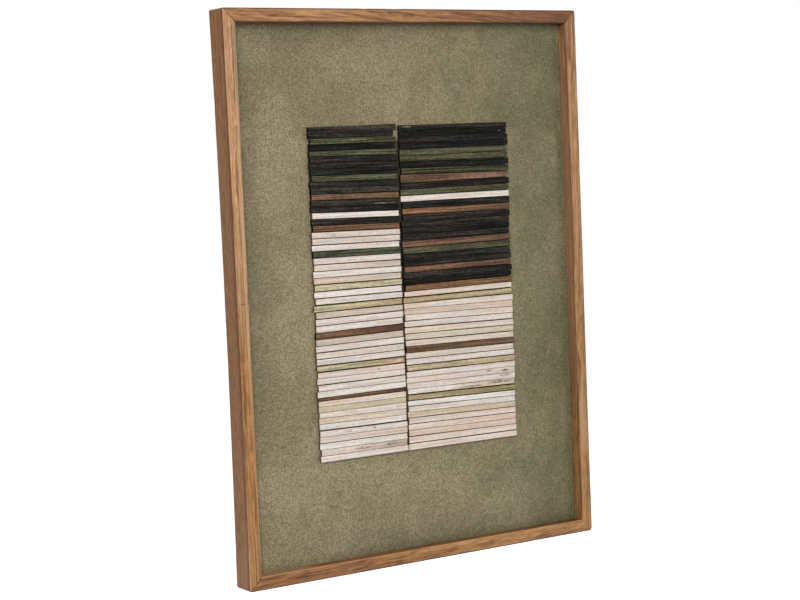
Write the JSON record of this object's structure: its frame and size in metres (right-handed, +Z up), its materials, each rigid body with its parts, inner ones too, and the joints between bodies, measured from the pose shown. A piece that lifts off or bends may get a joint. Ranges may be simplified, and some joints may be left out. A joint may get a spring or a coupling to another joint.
{
  "type": "wood relief wall panel",
  "caption": "Rectangular wall panel: a mitred wooden tray frame round a sand-textured board that carries two side-by-side stacks of thin stained and limewashed wood slats.",
  "frame": {"origin": "middle of the top rail's flat back rim, where the hanger is fixed: on the wall plane, half-way across the panel, 6 mm under its top edge", "axes": "+Z up the panel's height, +Y from the front through the panel into the wall, +X to the right as seen from the front"},
  "size_m": [0.6, 0.04, 0.8],
  "materials": {
    "frame_wood": "honey-brown stained softwood, satin oil, with open grain, knots and worn arrises",
    "board_paint": "matt greyish olive paint over a fine sand texture, mottled with moss green",
    "black": "charcoal-black wood stain, slightly worn, matt",
    "olive": "thin olive-green wood stain with the grain showing, matt",
    "green": "dark bottle-green wood stain, matt",
    "rust": "rust to reddish-brown wood stain, matt",
    "walnut": "dark walnut-brown wood stain, matt",
    "khaki": "khaki limewash over bare wood, chalky",
    "limewash": "white to pinkish limewash rubbed into bare wood, chalky"
  },
  "bodies": {
    "root": {"backing_board": "board_paint", "bottom_rail": "frame_wood", "left_slat_03_olive": "olive", "left_slat_04_black": "black", "left_slat_05_olive": "olive", "left_slat_09_olive": "olive", "left_slat_12_rust": "rust", "left_slat_13_green": "green", "left_slat_14_black": "black", "left_slat_15_limewash": "limewash", "left_slat_16_black": "black", "left_slat_17_rust": "rust", "left_slat_21_green": "green", "left_slat_26_khaki": "khaki", "left_slat_29_khaki": "khaki", "left_slat_33_walnut": "walnut", "left_slat_38_khaki": "khaki", "left_slat_43_walnut": "walnut", "left_slats_01-02_black": "black", "left_slats_06-08_black": "black", "left_slats_10-11_black": "black", "left_slats_18-20_limewash": "limewash", "left_slats_22-25_limewash": "limewash", "left_slats_27-28_limewash": "limewash", "left_slats_30-32_limewash": "limewash", "left_slats_34-37_limewash": "limewash", "left_slats_39-42_limewash": "limewash", "left_slats_44-48_limewash": "limewash", "left_slats_49-53_limewash": "limewash", "left_stile": "frame_wood", "right_slat_07_black": "black", "right_slat_08_green": "green", "right_slat_09_rust": "rust", "right_slat_10_black": "black", "right_slat_11_green": "green", "right_slat_12_limewash": "limewash", "right_slat_13_black": "black", "right_slat_14_rust": "rust", "right_slat_19_rust": "rust", "right_slat_20_olive": "olive", "right_slat_23_rust": "rust", "right_slat_26_rust": "rust", "right_slat_27_limewash": "limewash", "right_slat_28_khaki": "khaki", "right_slat_36_walnut": "walnut", "right_slat_39_khaki": "khaki", "right_slat_44_khaki": "khaki", "right_slats_01-04_black": "black", "right_slats_05-06_olive": "olive", "right_slats_15-18_black": "black", "right_slats_21-22_black": "black", "right_slats_24-25_black": "black", "right_slats_29-32_limewash": "limewash", "right_slats_33-35_limewash": "limewash", "right_slats_37-38_limewash": "limewash", "right_slats_40-43_limewash": "limewash", "right_slats_45-48_limewash": "limewash", "right_slats_49-52_limewash": "limewash", "right_stile": "frame_wood", "top_rail": "frame_wood"}
  },
  "joints": []
}
